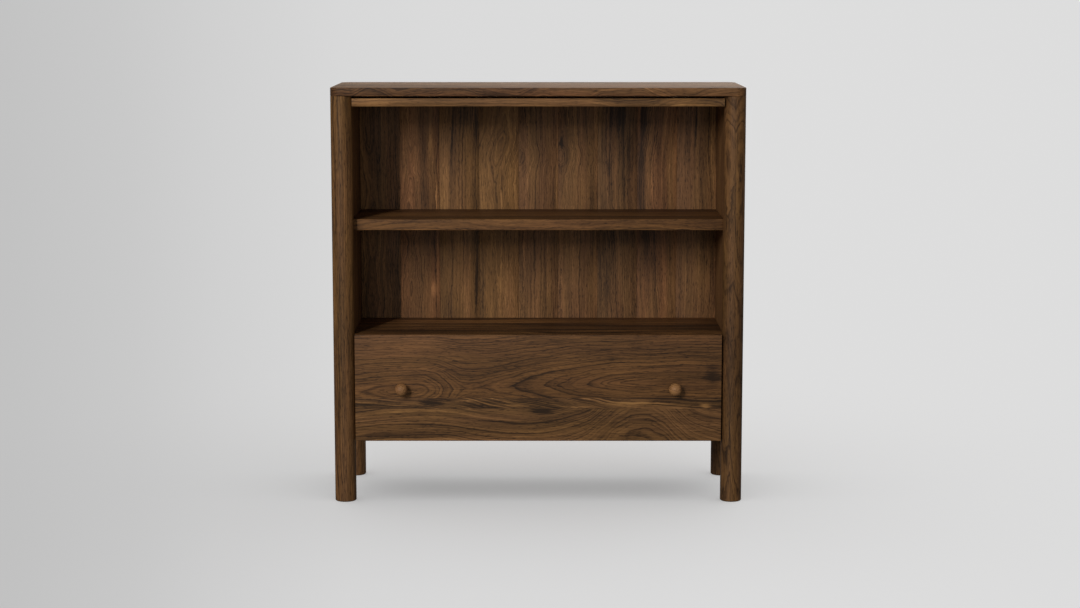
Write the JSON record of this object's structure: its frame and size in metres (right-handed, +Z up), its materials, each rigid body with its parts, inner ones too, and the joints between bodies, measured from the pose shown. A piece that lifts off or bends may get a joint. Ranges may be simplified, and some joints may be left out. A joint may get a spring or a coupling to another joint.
{
  "type": "bookcase with bottom drawer",
  "caption": "Walnut bookcase on round posts with a floating top slab, an open shelf, a plank back and one wide pull-out drawer with ball knobs.",
  "frame": {"origin": "on the floor, in the middle of the width and of the depth measured over the knobs", "axes": "+Z up, +X to the right of a viewer facing the front, the front and the drawer face -Y"},
  "size_m": [1, 0.382, 1.013],
  "materials": {
    "walnut_post": "satin hardwax oil over dark walnut",
    "walnut_board": "satin hardwax oil over dark walnut",
    "walnut_back_board": "satin hardwax oil over dark walnut",
    "walnut_drawer_front": "satin hardwax oil over dark walnut",
    "walnut_drawer_box": "matt oil over walnut",
    "walnut_knob": "satin hardwax oil over turned walnut",
    "walnut_inner": "planed, unfinished",
    "beech_dowel": "plain turned beech",
    "slide_steel": "zinc-plated rolled steel",
    "zinc_plated_steel": "bright zinc plate"
  },
  "bodies": {
    "carcass": {"top_slab": "walnut_board", "post_front_left": "walnut_post", "post_front_right": "walnut_post", "post_rear_left": "walnut_post", "post_rear_right": "walnut_post", "post_dowels": "beech_dowel", "side_panel_left": "walnut_board", "side_panel_right": "walnut_board", "sub_top": "walnut_board", "deck": "walnut_board", "lower_front_rail": "walnut_board", "lower_rear_rail": "walnut_board", "sub_top_dowels": "beech_dowel", "deck_dowels": "beech_dowel", "rail_dowels": "beech_dowel", "slab_spacers": "walnut_inner", "slab_screws": "zinc_plated_steel", "shelf": "walnut_board", "shelf_pins": "zinc_plated_steel", "back_board_1": "walnut_back_board", "back_board_2": "walnut_back_board", "back_board_3": "walnut_back_board", "back_board_4": "walnut_back_board", "back_board_5": "walnut_back_board", "back_board_6": "walnut_back_board", "back_board_7": "walnut_back_board", "back_board_8": "walnut_back_board", "back_board_9": "walnut_back_board", "back_screws": "zinc_plated_steel", "slide_packer_left": "walnut_inner", "slide_packer_right": "walnut_inner", "slide_outer_left": "slide_steel", "slide_outer_right": "slide_steel", "slide_outer_screws": "zinc_plated_steel"},
    "drawer": {"drawer_front": "walnut_drawer_front", "drawer_box_front": "walnut_drawer_box", "drawer_box_back": "walnut_drawer_box", "drawer_side_left": "walnut_drawer_box", "drawer_side_right": "walnut_drawer_box", "drawer_bottom": "walnut_drawer_box", "knob_left": "walnut_knob", "knob_right": "walnut_knob", "front_screws": "zinc_plated_steel", "knob_screws": "zinc_plated_steel", "slide_inner_left": "slide_steel", "slide_inner_right": "slide_steel", "slide_inner_screws": "zinc_plated_steel"},
    "runner_left": {"slide_middle_left": "slide_steel"},
    "runner_right": {"slide_middle_right": "slide_steel"}
  },
  "joints": [
    {"name": "drawer_slide", "type": "slide", "parent": "carcass", "child": "drawer", "axis": [0, -1, 0], "range_m": [0, 0.25]},
    {"name": "runner_left_slide", "type": "slide", "parent": "carcass", "child": "runner_left", "axis": [0, -1, 0], "range_m": [0, 0.125]},
    {"name": "runner_right_slide", "type": "slide", "parent": "carcass", "child": "runner_right", "axis": [0, -1, 0], "range_m": [0, 0.125]}
  ],
  "couplings": [
    {"joint": "runner_left_slide", "follows": "drawer_slide", "ratio": 0.5},
    {"joint": "runner_right_slide", "follows": "drawer_slide", "ratio": 0.5}
  ]
}
